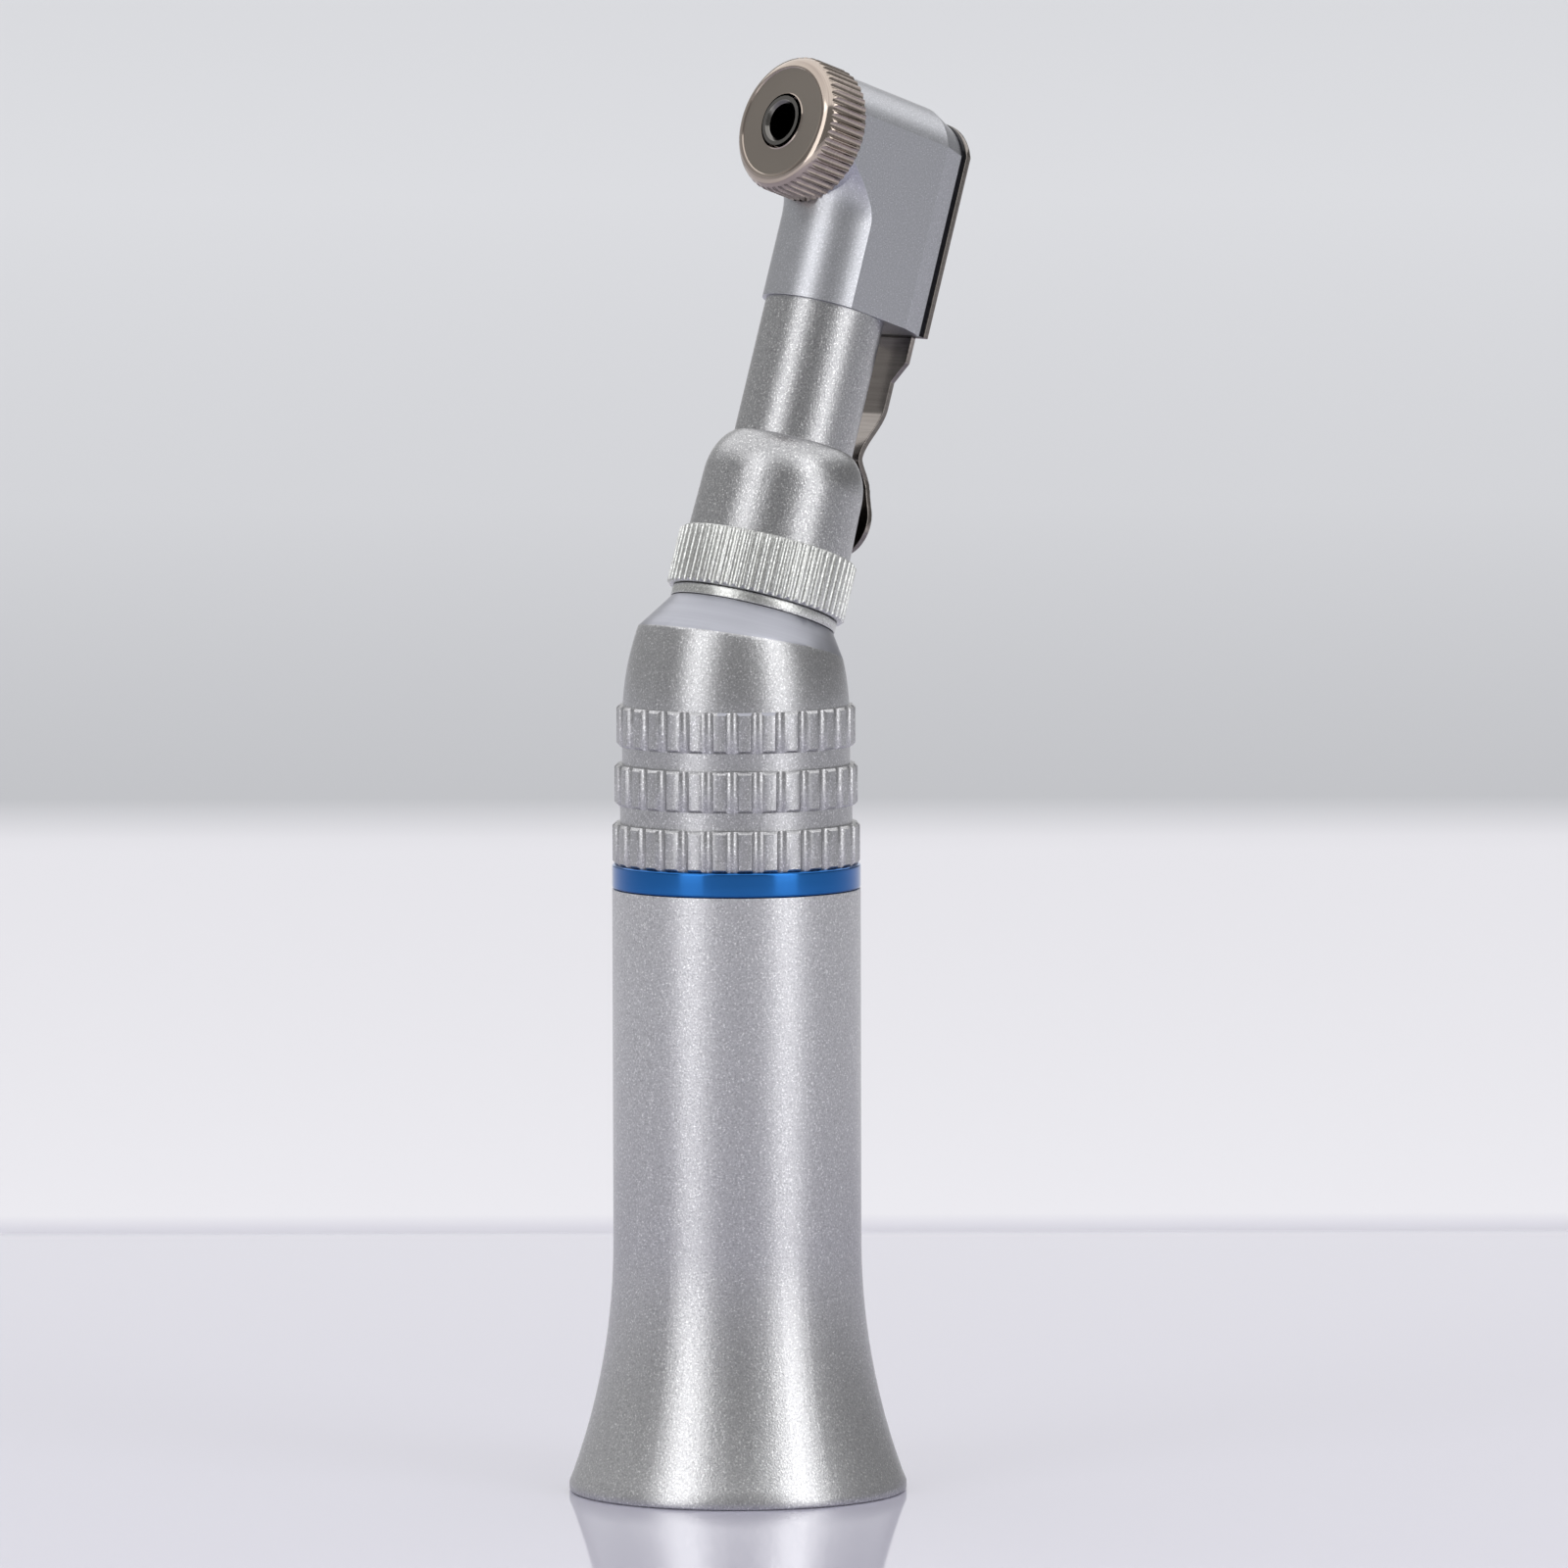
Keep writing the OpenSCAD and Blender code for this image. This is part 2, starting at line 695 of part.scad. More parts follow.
module head_body() {
    intersection() {
        union() {
            intersection() {
                head_neck_shape();
                union() {
                    on_neck(seam_s) cylinder(r = 2 * head_neck_r, h = neck_l - cap_r - run - seam_s);
                    head_flats(head_front);
                }
            }
            on_bur(-head_front) cylinder(r = head_r, h = head_front + bevel_m);
            on_bur(bevel_m) cylinder(r1 = head_r, r2 = head_r - bevel_in, h = head_back - bevel_m);
            on_bur() translate([-flat_w, 0, 0]) cube([2 * flat_w, neck_l - seam_s, head_back + over]);
        }
        head_flats(2 * head_front);
    }
}

module head_housing() {
    color("silver") difference() {
        union() {
            head_body();
            on_neck(seam_s - joint_l + fit) cylinder(r = joint_r, h = joint_l + over);
        }
        on_neck(seam_s - joint_l) cylinder(r = bush_r, h = head_bore_step - seam_s + joint_l + eps);
        on_neck(head_bore_step) cylinder(r = pinion_bore_r, h = neck_l - head_bore_step);
        on_bur(-head_front - over) cylinder(r = head_bore_r, h = head_front + over + back_seat);
        on_bur(back_seat - eps)
            cylinder(r = rotor_bearing_r + fit, h = head_back - back_wall - back_seat + eps);
        on_bur(head_back - over) cylinder(r = back_hole_r, h = 2 * over);
        on_bur(back_seat) translate([0, pivot_drop, 0])
            cylinder(r = pivot_r, h = head_back - back_seat + over);
    }
}

module bearing_cap() {
    rim_l = -head_front - cap_face;
    color("tan") on_bur() difference() {
        union() {
            intersection() {
                translate([0, 0, cap_face]) linear_extrude(rim_l)
                    fluted_outline(cap_r, cap_teeth, cap_groove_r, cap_groove);
                translate([0, 0, cap_face]) rotate_extrude() union() {
                    square([cap_r - cap_edge_r, rim_l]);
                    translate([0, cap_edge_r]) square([cap_r + eps, rim_l - cap_edge_r - edge]);
                    translate([cap_r - cap_edge_r, cap_edge_r]) circle(r = cap_edge_r + eps, $fn = 48);
                    polygon([
                        [0, rim_l / 2], [cap_r, rim_l / 2], [cap_r, rim_l - edge],
                        [cap_r - edge, rim_l], [0, rim_l]
                    ]);
                }
            }
            translate([0, 0, -head_front - over]) cylinder(r = cap_skirt_r, h = cap_skirt + over);
        }
        translate([0, 0, cap_face - over]) cylinder(r = cap_hole_r, h = front_bearing_m - cap_face + over);
        translate([0, 0, front_bearing_m - run])
            cylinder(r = rotor_bearing_r + fit, h = cap_h + cap_skirt);
    }
}

module front_rotor_outer_race() {
    color("lightsteelblue") on_bur(front_bearing_m) outer_race(chuck_r, rotor_bearing_r, rotor_bearing_w);
}

module front_rotor_balls() {
    color("white") on_bur(front_bearing_m) balls(chuck_r, rotor_bearing_r, rotor_bearing_w, 9);
}

module back_rotor_outer_race() {
    color("lightsteelblue") on_bur(back_bearing_m) outer_race(chuck_r, rotor_bearing_r, rotor_bearing_w);
}

module back_rotor_balls() {
    color("white") on_bur(back_bearing_m) balls(chuck_r, rotor_bearing_r, rotor_bearing_w, 9);
}

module rotor_inner_races() {
    color("lightsteelblue") for (m = [front_bearing_m, back_bearing_m])
        on_bur(m) inner_race(chuck_r, rotor_bearing_r, rotor_bearing_w);
}

module chuck_rotor() {
    flat_m = chuck_back - drive_l;
    drive_r = chuck_bore_r + drive_relief;
    mouth_r = chuck_bore_r + chuck_countersink;
    color("lightgray") on_bur() difference() {
        union() {
            translate([0, 0, chuck_front]) cylinder(r = chuck_r, h = chuck_back - chuck_front);
            translate([0, 0, front_bearing_m + rotor_bearing_w])
                cylinder(r = chuck_r + chuck_collar, h = chuck_collar_t);
        }
        translate([0, 0, chuck_front - over]) cylinder(r = chuck_bore_r, h = flat_m - chuck_front + over);
        translate([0, 0, chuck_front - eps])
            cylinder(r1 = mouth_r + eps, r2 = chuck_bore_r, h = chuck_countersink + eps);
        translate([0, 0, flat_m - eps]) linear_extrude(drive_l + over) intersection() {
            circle(r = drive_r);
            translate([-drive_r, -drive_r]) square([2 * drive_r, drive_r + drive_flat]);
        }
    }
}

module rotor_gear() {
    color("darkgoldenrod") on_bur()
        bevel_gear(
            head_cone, head_gear_r, pitch_angle / 2, back_seat - run, chuck_r + gear_hub_wall, back_seat,
            chuck_r + fit / 2, head_face_share
        );
}

// ---- latch ----
// Outline of the head's back, down to the seam
module plate_outline() {
    intersection() {
        union() {
            circle(r = plate_r, $fn = 96);
            translate([-plate_w, 0]) square([2 * plate_w, neck_l - seam_s]);
        }
        translate([-plate_w, -plate_r - over])
            square([2 * plate_w, plate_r + over + neck_l - seam_s]);
    }
}

module latch_blade() {
    color("dimgray") on_bur(blade_m) linear_extrude(blade_t) difference() {
        plate_outline();
        circle(r = notch_r);
        translate([-plate_r - over, -notch_r]) square([plate_r + over, 2 * notch_r]);
        translate([0, pivot_drop]) circle(r = pivot_r + run);
    }
}

// Smooth step from 0 to 1
function ramp(x) = let (u = min(max(x, 0), 1)) u * u * (3 - 2 * u);

// Inner face of the lever behind the neck: flat below the plate, a dip behind the tube, flat over the bell
function lever_inner(s) =
    let (dip_m = neck_r + dip_gap)
        dip_m + (s > dip_s
            ? (lever_m - dip_m) * ramp((s - dip_s) / dip_rise_up)
            : (bell_r + tab_gap - dip_m) * ramp((dip_s - s) / dip_rise_down));

// Points moved sideways by a distance, square to the line that they follow
function beside(line, distance) = [
    for (i = [0:len(line) - 1])
        let (d = line[min(i + 1, len(line) - 1)] - line[max(i - 1, 0)])
            line[i] + distance / norm(d) * [-d[1], d[0]]
];

// Side view of the tongue and thumb tab: [drop below the bur axis, distance behind the neck axis]
module lever_side() {
    top_s = seam_s + edge;
    tip_s = tab_s - tab_r - edge;
    inner = [
        for (k = [0:lever_steps])
            let (s = top_s + (tip_s - top_s) * k / lever_steps) [neck_l - s, lever_inner(s)]
    ];
    outer = beside(inner, lever_t);
    polygon(concat(inner, [for (i = [lever_steps:-1:0]) outer[i]]));
}

// Front view of the same: a shoulder under the plate, a narrow tongue and a round thumb tab
module lever_front() {
    blend = [
        for (k = [0:blend_steps])
            let (u = k / blend_steps)
                [tongue_w + (tab_r - tongue_w) * ramp(u), neck_l - tab_s - tab_blend * (1 - u)]
    ];
    half = concat(
        [
            [strip_w, neck_l - seam_s - edge], [strip_w, neck_l - shoulder_s],
            [tongue_w, neck_l - shoulder_s + shoulder_l]
        ],
        blend
    );
    polygon(concat(half, [for (i = [len(half) - 1:-1:0]) [-half[i][0], half[i][1]]]));
    translate([0, neck_l - tab_s]) circle(r = tab_r);
}

module latch_lever() {
    reach = max(lever_m, bell_r + tab_gap) + 2 * lever_t;
    color("darkgray") on_bur() difference() {
        union() {
            translate([0, 0, lever_m]) linear_extrude(lever_t) plate_outline();
            intersection() {
                translate([-2 * strip_w, 0, 0]) rotate([90, 0, 90])
                    linear_extrude(4 * strip_w) lever_side();
                linear_extrude(reach) lever_front();
            }
        }
        translate([0, pivot_drop, 0]) cylinder(r = pivot_r + run, h = reach);
    }
}

module latch_pivot_screw() {
    head_m = lever_m + lever_t + fit;
    color("lightgray") on_bur() translate([0, pivot_drop, 0]) difference() {
        union() {
            translate([0, 0, back_seat + fit]) cylinder(r = pivot_r - fit / 2, h = head_m - back_seat);
            translate([0, 0, head_m]) cylinder(r = screw_head_r, h = screw_head_t);
        }
        translate([-screw_head_r - eps, -screw_slot / 2, head_m + screw_head_t - screw_slot_depth])
            cube([2 * (screw_head_r + eps), screw_slot, screw_head_t]);
    }
}

rear_sheath();
coupling_sleeve();
marking_ring();
grip_sleeve();
sheath_o_ring();
rear_bearing_outer_races();
rear_bearing_inner_races();
rear_bearing_balls();
bearing_spacer();
retaining_ring();
drive_dog();
dog_spring();
dog_cross_pin();
rear_shaft();
rear_bevel_gear();
neck_tube();
collar_ring();
lock_nut();
neck_bearing_outer_race();
neck_bearing_inner_race();
neck_bearing_balls();
neck_bush();
thrust_washer();
neck_shaft();
lower_bevel_gear();
upper_pinion();
head_housing();
bearing_cap();
front_rotor_outer_race();
front_rotor_balls();
back_rotor_outer_race();
back_rotor_balls();
rotor_inner_races();
chuck_rotor();
rotor_gear();
latch_blade();
latch_lever();
latch_pivot_screw();
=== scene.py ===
import json
import math

import bpy
from mathutils import Matrix, Vector

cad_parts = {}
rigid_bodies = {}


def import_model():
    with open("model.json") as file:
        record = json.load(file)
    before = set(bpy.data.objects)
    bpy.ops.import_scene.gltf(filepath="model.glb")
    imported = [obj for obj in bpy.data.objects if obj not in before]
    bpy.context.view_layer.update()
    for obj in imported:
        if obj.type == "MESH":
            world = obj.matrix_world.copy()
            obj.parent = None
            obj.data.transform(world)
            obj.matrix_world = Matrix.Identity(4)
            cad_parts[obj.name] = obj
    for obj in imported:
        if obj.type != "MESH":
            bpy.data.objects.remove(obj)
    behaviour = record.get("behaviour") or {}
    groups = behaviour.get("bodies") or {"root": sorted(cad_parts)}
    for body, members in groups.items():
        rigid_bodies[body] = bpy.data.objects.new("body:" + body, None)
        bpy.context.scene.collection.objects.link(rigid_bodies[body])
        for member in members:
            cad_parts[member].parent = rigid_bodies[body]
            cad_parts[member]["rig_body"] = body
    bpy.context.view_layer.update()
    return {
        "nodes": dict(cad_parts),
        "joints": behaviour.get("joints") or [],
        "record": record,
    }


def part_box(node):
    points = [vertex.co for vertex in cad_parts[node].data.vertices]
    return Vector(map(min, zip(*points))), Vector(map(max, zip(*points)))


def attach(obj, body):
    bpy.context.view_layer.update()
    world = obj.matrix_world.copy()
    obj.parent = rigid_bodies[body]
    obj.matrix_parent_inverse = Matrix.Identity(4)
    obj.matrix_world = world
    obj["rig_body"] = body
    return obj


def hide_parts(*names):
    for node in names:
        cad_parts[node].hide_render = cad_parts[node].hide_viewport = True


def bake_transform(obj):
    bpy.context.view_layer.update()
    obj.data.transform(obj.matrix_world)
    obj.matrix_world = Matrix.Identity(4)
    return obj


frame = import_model()
nodes = frame["nodes"]

MM = 0.001


# ---- axes ----
def joint_axis(name):
    """The unit direction of one of the frame's joints."""
    joint = next(joint for joint in frame["joints"] if joint["name"] == name)
    return Vector(joint["axis"]).normalized()


def lathe_frame(node, axis):
    """A turned node's own frame: its origin in the node's middle and its Z along an axis."""
    low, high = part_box(node)
    turn = axis.to_track_quat("Z", "Y").to_matrix().to_4x4()
    return Matrix.Translation((low + high) / 2) @ turn


handle_axis = joint_axis("drive_spin")
neck_axis = joint_axis("neck_spin")
bur_axis = joint_axis("cap_turn")

handle_frame = Matrix.Identity(4)
neck_frame = lathe_frame("lock_nut", neck_axis)
bur_frame = lathe_frame("bearing_cap", bur_axis)


def seen_from(turn, height):
    """The direction out to a place at a turn round Z, from -Y towards +X, and a height."""
    return Vector((
        math.sin(turn) * math.cos(height),
        -math.cos(turn) * math.cos(height),
        math.sin(height),
    ))


# ---- camera ----
VIEW_TURN = math.radians(48.69)
VIEW_HEIGHT = math.radians(4.709)
VIEW_ROLL = math.radians(-0.136)
VIEW_DISTANCE = 912.5 * MM
AIM_RIGHT = 2.93 * MM
AIM_UP = 44.956 * MM
# lens and sensor are in millimetres, as Blender has them
LENS_LENGTH = 328.5
SENSOR_WIDTH = 36
NEAREST_SEEN = 0.05
FARTHEST_SEEN = 20

back = seen_from(VIEW_TURN, VIEW_HEIGHT)
level = Vector((math.cos(VIEW_TURN), math.sin(VIEW_TURN), 0))
right = level * math.cos(VIEW_ROLL) + back.cross(level) * math.sin(VIEW_ROLL)
up = back.cross(right)

lens = bpy.data.cameras.new("view")
lens.lens = LENS_LENGTH
lens.sensor_width = SENSOR_WIDTH
lens.clip_start = NEAREST_SEEN
lens.clip_end = FARTHEST_SEEN
camera = bpy.data.objects.new("view", lens)
camera.matrix_world = Matrix.Translation(
    right * AIM_RIGHT + up * AIM_UP + back * VIEW_DISTANCE
) @ Matrix((right, up, back)).transposed().to_4x4()
bpy.context.scene.collection.objects.link(camera)
bpy.context.scene.camera = camera


# ---- pieces ----
SLOT_OF_NODE = {row["node"]: row["material_slot"] for row in frame["record"]["subparts"]}

# how far each piece's edges are rounded over
EDGE_OF_NODE = {
    "rear_sheath": 0.05 * MM,
    "marking_ring": 0.05 * MM,
    "grip_sleeve": 0.05 * MM,
    "collar_ring": 0.04 * MM,
    "lock_nut": 0.04 * MM,
    "neck_tube": 0.05 * MM,
    "head_housing": 0.1 * MM,
    "bearing_cap": 0.05 * MM,
    "latch_blade": 0.05 * MM,
    "latch_lever": 0.08 * MM,
    "chuck_rotor": 0.04 * MM,
    "coupling_sleeve": 0.05 * MM,
}

# an edge is rounded when its faces turn by more than this; the head's chamfers are shallow
ROUNDED_CORNER = math.radians(35)
ROUNDED_CORNER_OF_NODE = {"head_housing": math.radians(10)}
ROUNDING_STEPS = 2
# faces that turn by less than this are shaded as one curve; the spring's wire is coarse
SMOOTH_CORNER = math.radians(46)
SMOOTH_CORNER_OF_WIRE = math.radians(70)

SAME_POINT = 0.0002 * MM
FLAT_TURN = math.radians(0.5)
SAME_LEVEL = 0.01 * MM
# the least share of a normal that lies along a direction when a face looks that way
SQUARE_ON = 0.999

CAP_RIM = 0.06 * MM
CAP_STEP = 0.07 * MM


def copied(node):
    """A copy of a node's shape that takes its place, with its loose triangles merged."""
    bpy.ops.object.select_all(action="DESELECT")
    piece = bpy.data.objects.new(node + "_soft", nodes[node].data.copy())
    bpy.context.scene.collection.objects.link(piece)
    piece.select_set(True)
    bpy.context.view_layer.objects.active = piece
    bpy.ops.object.mode_set(mode="EDIT")
    bpy.ops.mesh.select_all(action="SELECT")
    bpy.ops.mesh.remove_doubles(threshold=SAME_POINT)
    bpy.ops.mesh.customdata_custom_splitnormals_clear()
    bpy.ops.mesh.dissolve_limited(angle_limit=FLAT_TURN)
    bpy.ops.mesh.select_all(action="DESELECT")
    bpy.ops.object.mode_set(mode="OBJECT")
    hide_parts(node)
    return piece


def step_in(piece, direction, rim, depth):
    """Sets the end face that looks along a direction back a little inside a thin rim."""
    ends = [face for face in piece.data.polygons if face.normal.dot(direction) > SQUARE_ON]
    end_level = max(ends, key=lambda face: face.area).center.dot(direction)
    for face in ends:
        face.select = abs(face.center.dot(direction) - end_level) < SAME_LEVEL
    bpy.ops.object.mode_set(mode="EDIT")
    bpy.ops.mesh.select_mode(type="FACE")
    bpy.ops.mesh.inset(thickness=rim, use_boundary=True)
    bpy.ops.transform.translate(value=-depth * direction)
    bpy.ops.mesh.select_all(action="DESELECT")
    bpy.ops.object.mode_set(mode="OBJECT")


def softened(piece, body, width, corner):
    """Rounds every edge sharper than a corner over, as tumbling and blasting leave it."""
    rounding = piece.modifiers.new("rounding", "BEVEL")
    rounding.limit_method = "ANGLE"
    rounding.angle_limit = corner
    rounding.width = width
    rounding.segments = ROUNDING_STEPS
    bpy.ops.object.modifier_apply(modifier=rounding.name)
    bpy.ops.object.shade_smooth_by_angle(angle=SMOOTH_CORNER)
    levelling = piece.modifiers.new("levelling", "WEIGHTED_NORMAL")
    levelling.keep_sharp = True
    bpy.ops.object.modifier_apply(modifier=levelling.name)
    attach(piece, body)


soft_pieces = {}
for node, width in EDGE_OF_NODE.items():
    soft_pieces[node] = copied(node)
    if node == "bearing_cap":
        step_in(soft_pieces[node], bur_axis, CAP_RIM, CAP_STEP)
    corner = ROUNDED_CORNER_OF_NODE.get(node, ROUNDED_CORNER)
    softened(soft_pieces[node], nodes[node]["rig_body"], width, corner)

# the spring's copy, shaded smooth: its two ends along the handle's axis are listed, the one by the
# dog last
spring = soft_pieces["dog_spring"] = copied("dog_spring")
bpy.ops.object.shade_smooth_by_angle(angle=SMOOTH_CORNER_OF_WIRE)
spring_low, spring_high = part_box("dog_spring")
dog_low, dog_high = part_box("drive_dog")
ends = [spring_low.z * handle_axis, spring_high.z * handle_axis]
if (dog_low + dog_high).z < (spring_low + spring_high).z:
    ends.reverse()
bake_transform(spring)


# ---- materials ----
def linear(hex_colour):
    """An sRGB hex colour as linear red, green, blue and alpha."""
    parts = [int(hex_colour[i:i + 2], 16) / 255 for i in (1, 3, 5)]
    return [c / 12.92 if c <= 0.04045 else ((c + 0.055) / 1.055) ** 2.4 for c in parts] + [1]


def add_node(tree, kind, inputs=None, **settings):
    """Adds a node. Each input is given a value or the socket that feeds it."""
    node = tree.nodes.new("ShaderNode" + kind)
    for name, value in settings.items():
        setattr(node, name, value)
    for name, value in (inputs or {}).items():
        if isinstance(value, bpy.types.NodeSocket):
            tree.links.new(value, node.inputs[name])
        else:
            node.inputs[name].default_value = value
    return node


def start_material(name, **inputs):
    """A new material with its node tree, its shader and the piece's own coordinates."""
    material = bpy.data.materials.new(name)
    material.use_nodes = True
    tree = material.node_tree
    tree.nodes.clear()
    shader = add_node(tree, "BsdfPrincipled", inputs)
    add_node(tree, "OutputMaterial", {"Surface": shader.outputs["BSDF"]})
    return material, tree, shader, add_node(tree, "TexCoord").outputs["Object"]


def ramp(tree, value, *stops):
    """A colour ramp through (position, sRGB hex) stops, fed by a value."""
    node = add_node(tree, "ValToRGB", {"Fac": value})
    elements = node.color_ramp.elements
    while len(elements) < len(stops):
        elements.new(0.5)
    for element, (position, colour) in zip(elements, stops):
        element.position = position
        element.color = linear(colour)
    return node.outputs["Color"]


# how deep a dimple or a feed mark is, as a share of its width
DIMPLE_DEPTH = 0.25
FEED_MARK_DEPTH = 0.1
# how much of a ring's pattern is left across its axis
ACROSS = 0.02


def bumped(tree, shader, height, relief, depth):
    """Raises a shader's surface by a pattern."""
    bumps = add_node(tree, "Bump", {"Height": height, "Strength": relief, "Distance": depth})
    tree.links.new(bumps.outputs["Normal"], shader.inputs["Normal"])


def bead_blasted(name, dark, middle, light, roughness, relief=0.5, grain_mm=0.13):
    """Plated brass blasted with fine glass beads: a soft grey sheen, broken into specks."""
    # real dimples are about 0.05 mm wide, and are drawn coarser so that they show
    material, tree, shader, place = start_material(name, Metallic=1.0, Roughness=roughness)
    grain = add_node(tree, "TexNoise", {
        "Vector": place, "Scale": 1 / (grain_mm * MM), "Detail": 2.5, "Roughness": 0.65,
    }).outputs["Fac"]
    # most of the surface is the middle grey, with the dark and light at the noise's ends
    colour = ramp(tree, grain, (0.3, dark), (0.48, middle), (0.56, middle), (0.72, light))
    tree.links.new(colour, shader.inputs["Base Color"])
    bumped(tree, shader, grain, relief, DIMPLE_DEPTH * grain_mm * MM)
    return material


def turned_metal(name, dark, light, roughness, piece_frame, pitch_mm=0.09, relief=0.1):
    """Metal as it comes off the lathe or the polishing wheel: faint rings round its axis."""
    # real feed marks are about 0.05 mm apart, and are drawn coarser so that they show
    material, tree, shader, place = start_material(name, Metallic=1.0, Roughness=roughness)
    turn = piece_frame.inverted()
    local = add_node(tree, "Mapping", {
        "Vector": place, "Location": turn.to_translation(), "Rotation": turn.to_euler(),
    }).outputs["Vector"]
    # noise that hardly changes across the axis, and changes along it, makes rings
    flattened = add_node(
        tree, "VectorMath", {0: local, 1: (ACROSS, ACROSS, 1.0)}, operation="MULTIPLY",
    ).outputs["Vector"]
    rings = add_node(tree, "TexNoise", {
        "Vector": flattened, "Scale": 1 / (pitch_mm * MM), "Detail": 2.0,
    }).outputs["Fac"]
    colour = ramp(tree, rings, (0.3, dark), (0.7, light))
    tree.links.new(colour, shader.inputs["Base Color"])
    bumped(tree, shader, rings, relief, FEED_MARK_DEPTH * pitch_mm * MM)
    return material


finishes = {
    # dull chrome on brass, blasted: a pale grey with white specks and no clear mirror image
    "satin_chrome": bead_blasted(
        "bead_blasted_chrome", "#A6A6A9", "#C4C4C6", "#FEFEFE", roughness=0.33,
    ),
    # the same on the cast head with finer beads: smoother, and a little bluer
    "satin_chrome_head": bead_blasted(
        "bead_blasted_head", "#A2A3A8", "#B2B3B8", "#DADBE0",
        roughness=0.36, relief=0.32, grain_mm=0.1,
    ),
    # nickel blasted lightly over cut teeth: bright, with a strong sparkle
    "bright_satin": bead_blasted(
        "bright_satin_nickel", "#A4A5A3", "#C4C5C3", "#F6F7F5",
        roughness=0.3, relief=0.65, grain_mm=0.13,
    ),
    # nickel polished on the lathe: warm, and nearly a mirror
    "polished_nickel": turned_metal(
        "polished_nickel", "#A0948B", "#B5A99F", roughness=0.12, piece_frame=bur_frame,
    ),
    # aluminium turned smooth and dyed: one even, glossy blue
    "blue_anodised": turned_metal(
        "blue_anodised_aluminium", "#2660A0", "#2964A6",
        roughness=0.13, piece_frame=handle_frame, pitch_mm=0.4, relief=0.01,
    ),
    # spring steel, rolled and brushed: brownish grey with fine lines and a clear gloss
    "spring_steel": turned_metal(
        "spring_steel", "#7C7672", "#8C8682", roughness=0.15, piece_frame=neck_frame,
    ),
    # steel coloured nearly black, with a dull sheen
    "blackened_steel": turned_metal(
        "blackened_steel", "#1B1B1E", "#26262A", roughness=0.35, piece_frame=neck_frame,
    ),
    # bearing steel, ground and lapped: bright and cool
    "bearing_steel": turned_metal(
        "bearing_steel", "#C0C0C4", "#CFCFD2", roughness=0.14, piece_frame=handle_frame,
    ),
    # shafts ground round: bright grey, a little less clear
    "shaft_steel": turned_metal(
        "ground_steel", "#AEAEB2", "#C2C2C6", roughness=0.22, piece_frame=handle_frame,
    ),
    # gear steel straight from the hob: darker and duller
    "gear_steel": turned_metal(
        "hobbed_steel", "#8E8D8C", "#A9A8A8", roughness=0.3, piece_frame=handle_frame,
    ),
    # bronze pressed from powder: brown gold, with no gloss
    "sintered_bronze": turned_metal(
        "sintered_bronze", "#8C6736", "#B58A52", roughness=0.45, piece_frame=handle_frame,
    ),
    # moulded nitrile, hidden inside: black and dull, though drawn on the metal shader
    "nitrile_rubber": turned_metal(
        "nitrile_rubber", "#141415", "#1B1B1C", roughness=0.6, piece_frame=handle_frame,
    ),
}
OTHER_FINISH = {
    # blasted after its flutes were cut: a shade darker than the sheath
    "grip_sleeve": bead_blasted(
        "blasted_grip_chrome", "#969698", "#AFAFB1", "#ECECEE",
        roughness=0.33, relief=0.42, grain_mm=0.12,
    ),
    # blasted over a polish: darker, with narrow lights along the tube
    "neck_tube": bead_blasted(
        "fine_blasted_chrome", "#8C8C8E", "#A9A9AB", "#F0F0F0",
        roughness=0.31, relief=0.6, grain_mm=0.12,
    ),
    # hardened and ground: a dark, clear ring in the middle of the cap; its dark grey is partly the
    # steel's own tone and partly painted shade from the cap's bore
    "chuck_rotor": turned_metal(
        "hardened_steel_painted_bore_shade", "#6A6865", "#7C7A77", roughness=0.16, piece_frame=bur_frame,
    ),
}
for node, slot in SLOT_OF_NODE.items():
    piece = soft_pieces.get(node, nodes[node])
    piece.data.materials.clear()
    piece.data.materials.append(OTHER_FINISH.get(node, finishes[slot]))


def refinished(node, material, is_worked):
    """Gives the faces of a piece that were worked again their own finish."""
    mesh = soft_pieces[node].data
    mesh.materials.append(material)
    for face in mesh.polygons:
        if is_worked(face):
            face.material_index = 1


# the cap's end is lapped flat: duller and more even than its polished rim
LAPPED_FLAT = 0.99
refinished(
    "bearing_cap",
    turned_metal(
        "lapped_nickel", "#8C847C", "#958D85",
        roughness=0.34, piece_frame=bur_frame, pitch_mm=0.2, relief=0.04,
    ),
    lambda face: face.normal.dot(bur_axis) > LAPPED_FLAT,
)

# the grip's sloping top is turned smooth after blasting: a paler, even lilac grey
# its side leans in by this much from the neck's axis, and it lies above the flutes
CONE_LEAN = math.radians(34)
CONE_RISE = math.sin(CONE_LEAN)
CONE_NEAR = 0.05
FLUTES_HEIGHT = 9 * MM
CONE_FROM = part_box("grip_sleeve")[0].z + FLUTES_HEIGHT
refinished(
    "grip_sleeve",
    turned_metal(
        "turned_cone", "#A0A1A9", "#A6A7AF",
        roughness=0.38, piece_frame=neck_frame, pitch_mm=0.2, relief=0.03,
    ),
    lambda face: (
        abs(face.normal.dot(neck_axis) - CONE_RISE) < CONE_NEAR
        and face.center.z > CONE_FROM
    ),
)


# ---- floor and light ----
# sizes and distances here are in metres
FLOOR_R = 6.0
FLOOR_SIDES = 96
# half the width of the square sheet, and the width in which it changes to the table
SHEET_EDGE = 0.1475
EDGE_WIDTH = 0.1 * MM
# the table fades into the room between these
TABLE_EDGE = 0.48
ROOM_START = 0.53
# where the ramp of tones ends
TONES_R = 4.0


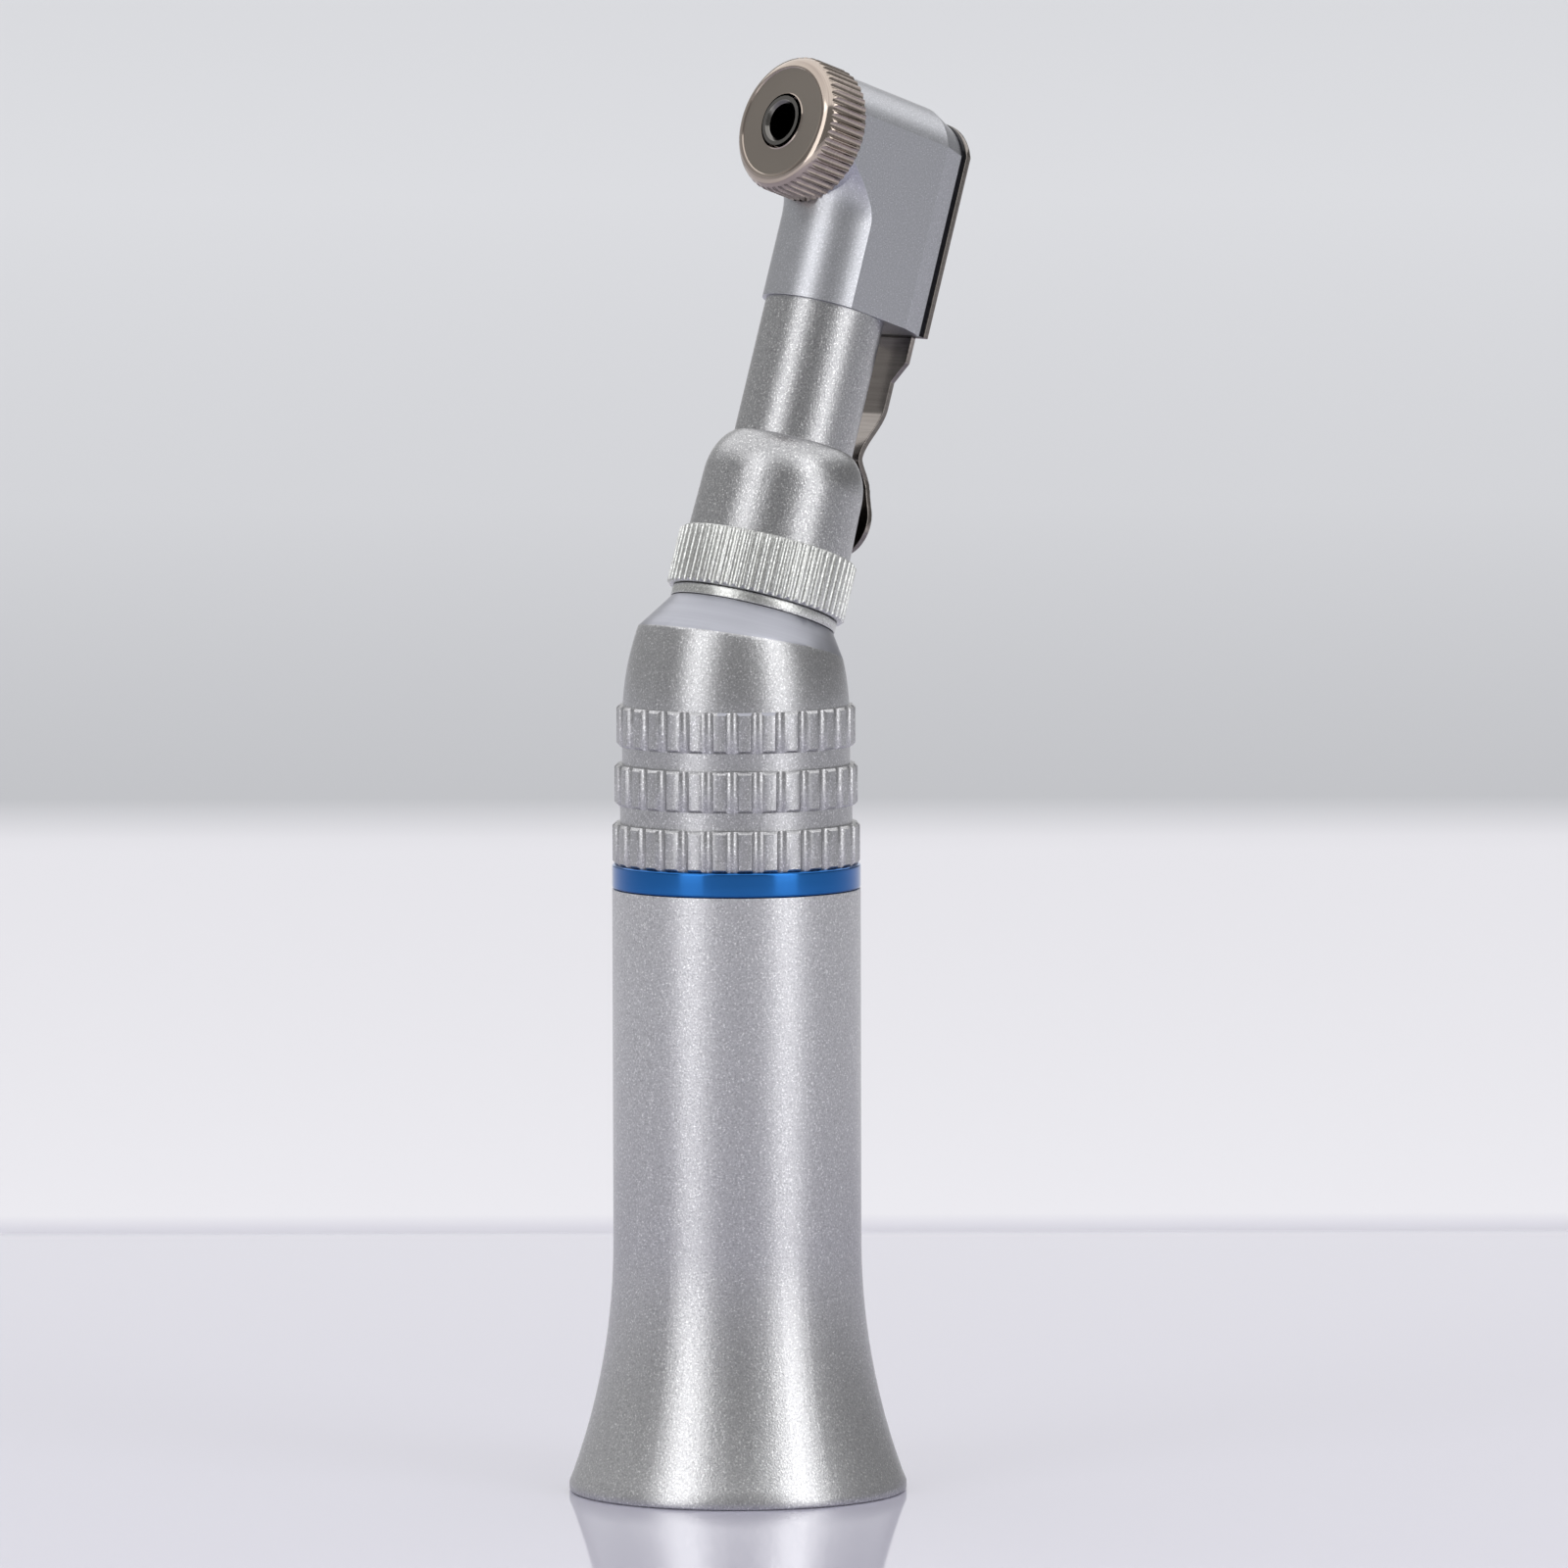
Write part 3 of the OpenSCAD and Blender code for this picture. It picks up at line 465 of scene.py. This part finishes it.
def pale_floor():
    """A pale tabletop: a glossy lilac sheet under the object, on matt white, with grey beyond."""
    # the low IOR keeps the mirror image of the base faint
    material, tree, shader, place = start_material("pale_floor", IOR=1.3)
    facing = add_node(tree, "Mapping", {
        "Vector": place, "Rotation": (0, 0, -VIEW_TURN),
    }).outputs["Vector"]
    folded = add_node(tree, "VectorMath", {0: facing}, operation="ABSOLUTE").outputs["Vector"]
    sides = add_node(tree, "SeparateXYZ", {0: folded}).outputs
    # the larger of the two distances makes a square
    distance = add_node(
        tree, "Math", {0: sides["X"], 1: sides["Y"]}, operation="MAXIMUM",
    ).outputs[0]
    share = add_node(tree, "MapRange", {"Value": distance, "From Max": TONES_R}).outputs["Result"]
    sheet_end = SHEET_EDGE - EDGE_WIDTH
    # distances from the middle, and the colour there
    tones = (
        (0.05, "#B4B2C1"), (sheet_end, "#BBB9C8"),
        (SHEET_EDGE, "#DCDBE0"), (TABLE_EDGE, "#DDDCE1"),
        (ROOM_START, "#B9BABE"), (1.0, "#CBCCD0"), (2.0, "#D3D4D8"), (3.4, "#CFD0D4"),
    )
    colour = ramp(tree, share, *[(at / TONES_R, tone) for at, tone in tones])
    tree.links.new(colour, shader.inputs["Base Color"])
    gloss = ramp(tree, share, (sheet_end / TONES_R, "#404040"), (SHEET_EDGE / TONES_R, "#FFFFFF"))
    tree.links.new(gloss, shader.inputs["Roughness"])
    return material


bpy.ops.object.select_all(action="DESELECT")
bpy.ops.mesh.primitive_circle_add(vertices=FLOOR_SIDES, radius=FLOOR_R, fill_type="NGON")
floor = bpy.context.object
floor.name = "floor"
floor.data.materials.append(pale_floor())


def softbox(name, turn, height, distance, width, tall, power):
    """A soft light aimed at the object's middle, turned to the right of the camera, in degrees."""
    light = bpy.data.lights.new(name, "AREA")
    light.shape = "RECTANGLE"
    light.size = width
    light.size_y = tall
    light.energy = power
    holder = bpy.data.objects.new(name, light)
    target = Vector((0, 0, AIM_UP))
    place = target + distance * seen_from(VIEW_TURN + math.radians(turn), math.radians(height))
    aim = (place - target).to_track_quat("Z", "Y").to_matrix().to_4x4()
    holder.matrix_world = Matrix.Translation(place) @ aim
    bpy.context.scene.collection.objects.link(holder)


# two boxes stand close by and draw the two bright stripes; the rest is the room's soft light
softbox("left_box", turn=-42, height=22, distance=0.42, width=0.18, tall=0.42, power=0.5)
softbox("right_box", turn=47, height=22, distance=0.42, width=0.18, tall=0.42, power=0.56)
softbox("ceiling", turn=180, height=80, distance=4.5, width=12, tall=12, power=495)
softbox("far_left_wall", turn=-122, height=12, distance=5, width=8, tall=4, power=20)
softbox("back_wall", turn=180, height=6, distance=5, width=3, tall=1.1, power=6.6)

ROOM_LIGHT = 0.3
world = bpy.data.worlds.new("studio")
world.use_nodes = True
sky = world.node_tree.nodes["Background"]
sky.inputs["Color"].default_value = linear("#FFFFFF")
sky.inputs["Strength"].default_value = ROOM_LIGHT
bpy.context.scene.world = world
bpy.context.scene.view_settings.view_transform = "Standard"
